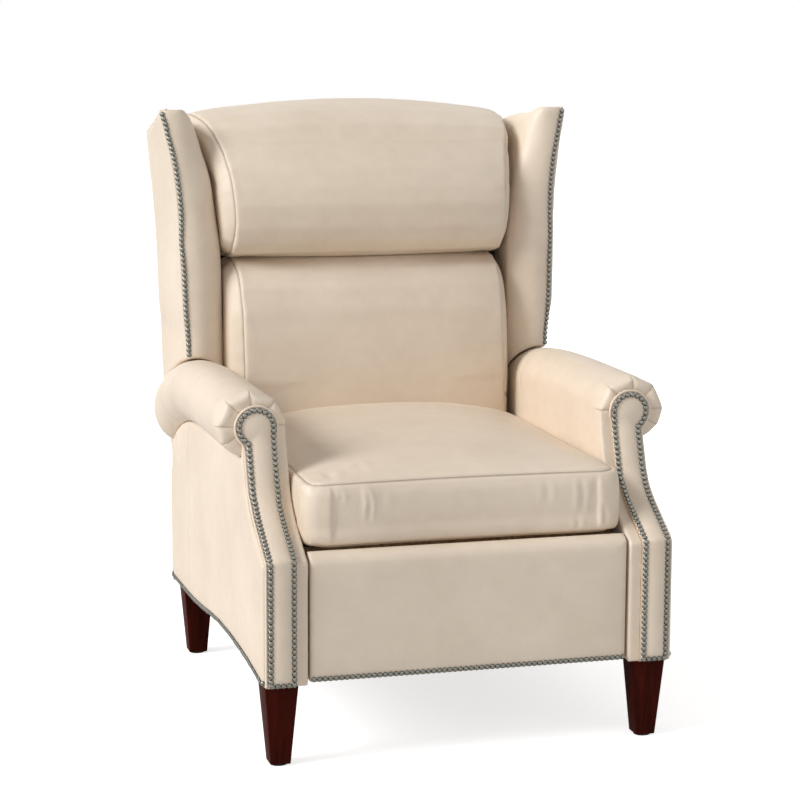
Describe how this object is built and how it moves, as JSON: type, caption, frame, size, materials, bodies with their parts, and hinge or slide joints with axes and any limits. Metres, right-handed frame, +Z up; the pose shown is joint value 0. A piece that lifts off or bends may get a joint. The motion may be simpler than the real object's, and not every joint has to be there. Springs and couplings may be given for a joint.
{
  "type": "wing recliner",
  "caption": "High-leg wing recliner in cream leather with rolled, nail-trimmed arms; the back leans, the seat glides forward and the front panel lifts into a legrest.",
  "frame": {"origin": "on the floor, under the middle of the whole chair's width and depth", "axes": "+X to the chair's left-hand side as seen from the front (viewer's right), +Y to the rear, +Z up; the chair faces -Y"},
  "size_m": [0.856, 0.9878, 1.1387],
  "materials": {
    "leather": "semi-gloss, fine grain",
    "mahogany": "gloss stain",
    "frame_wood": "raw",
    "steel": "satin",
    "spring_steel": "dull",
    "cloth": "matte weave",
    "nylon": "matte"
  },
  "bodies": {
    "base": {"rear_panel": "leather", "inside_arm_left": "leather", "inside_arm_right": "leather", "outside_arm_left": "leather", "outside_arm_right": "leather", "arm_roll_left": "leather", "arm_roll_right": "leather", "arm_front_panel_left": "leather", "arm_front_panel_right": "leather", "leg_front_left": "mahogany", "leg_front_right": "mahogany", "leg_rear_left": "mahogany", "leg_rear_right": "mahogany", "leg_glides": "nylon", "corner_blocks": "frame_wood", "front_rail": "frame_wood", "rear_rail": "frame_wood", "arm_front_posts": "frame_wood", "arm_rear_posts": "frame_wood", "arm_bottom_rails": "frame_wood", "arm_top_rails": "frame_wood", "hanger_bolts": "steel", "mechanism_rails": "steel", "base_pivots": "steel"},
    "front_swing": {"front_swing_links": "steel"},
    "rear_swing": {"rear_swing_links": "steel"},
    "seat": {"seat_side_rails": "frame_wood", "seat_cross_rails": "frame_wood", "seat_springs": "spring_steel", "seat_deck": "cloth", "seat_cushion": "leather", "seat_side_plates": "steel", "seat_pivots": "steel"},
    "back": {"back_posts": "frame_wood", "back_rails": "frame_wood", "wing_posts": "frame_wood", "wing_boards": "frame_wood", "wing_left": "leather", "wing_right": "leather", "back_springs": "spring_steel", "inside_back": "cloth", "outside_back": "leather", "lumbar_cushion": "leather", "head_cushion": "leather", "back_brackets": "steel", "back_pivots": "steel"},
    "drive_link": {"drive_links": "steel"},
    "main_link": {"legrest_main_links": "steel", "legrest_torsion_tube": "steel", "main_link_pins": "steel"},
    "rear_link": {"legrest_rear_links": "steel"},
    "coupler": {"legrest_couplers": "steel", "coupler_pins": "steel"},
    "rod": {"legrest_rods": "steel"},
    "legrest": {"legrest_brackets": "steel", "bracket_pins": "steel", "legrest_board": "frame_wood", "legrest_pad": "leather"}
  },
  "joints": [
    {"name": "recline", "type": "hinge", "parent": "base", "child": "back", "pos_m": [0, 0.30606, 0.4], "axis": [-1, 0, 0], "range_deg": [0, 35]},
    {"name": "front_swing", "type": "hinge", "parent": "base", "child": "front_swing", "pos_m": [0, -0.16393, 0.338], "axis": [-1, 0, 0], "range_deg": [0, 25]},
    {"name": "rear_swing", "type": "hinge", "parent": "base", "child": "rear_swing", "pos_m": [0, 0.08607, 0.338], "axis": [-1, 0, 0], "range_deg": [0, 25]},
    {"name": "seat_carry", "type": "hinge", "parent": "front_swing", "child": "seat", "pos_m": [0, -0.14394, 0.24513], "axis": [-1, 0, 0], "range_deg": [-25, 0]},
    {"name": "drive", "type": "hinge", "parent": "back", "child": "drive_link", "pos_m": [0, 0.30606, 0.33], "axis": [-1, 0, 0], "range_deg": [-45, 0]},
    {"name": "legrest", "type": "hinge", "parent": "seat", "child": "main_link", "pos_m": [0, -0.34893, 0.34], "axis": [-1, 0, 0], "range_deg": [0, 90]},
    {"name": "legrest_rear", "type": "hinge", "parent": "seat", "child": "rear_link", "pos_m": [0, -0.26893, 0.34], "axis": [-1, 0, 0], "range_deg": [0, 90]},
    {"name": "coupler", "type": "hinge", "parent": "main_link", "child": "coupler", "pos_m": [0, -0.2792, 0.19046], "axis": [-1, 0, 0], "range_deg": [-90, 0]},
    {"name": "rod", "type": "hinge", "parent": "main_link", "child": "rod", "pos_m": [0, -0.29991, 0.23487], "axis": [-1, 0, 0], "range_deg": [-90, 0]},
    {"name": "legrest_panel", "type": "hinge", "parent": "coupler", "child": "legrest", "pos_m": [0, -0.40193, 0.322], "axis": [-1, 0, 0], "range_deg": [0, 90]}
  ],
  "couplings": [
    {"joint": "front_swing", "follows": "recline", "ratio": 0.6945},
    {"joint": "rear_swing", "follows": "recline", "ratio": 0.6945},
    {"joint": "seat_carry", "follows": "recline", "ratio": -0.6945},
    {"joint": "drive", "follows": "recline", "ratio": -1.1883},
    {"joint": "legrest_rear", "follows": "legrest", "ratio": 1},
    {"joint": "coupler", "follows": "legrest", "ratio": -1},
    {"joint": "rod", "follows": "legrest", "ratio": -1},
    {"joint": "legrest_panel", "follows": "legrest", "ratio": 1}
  ]
}
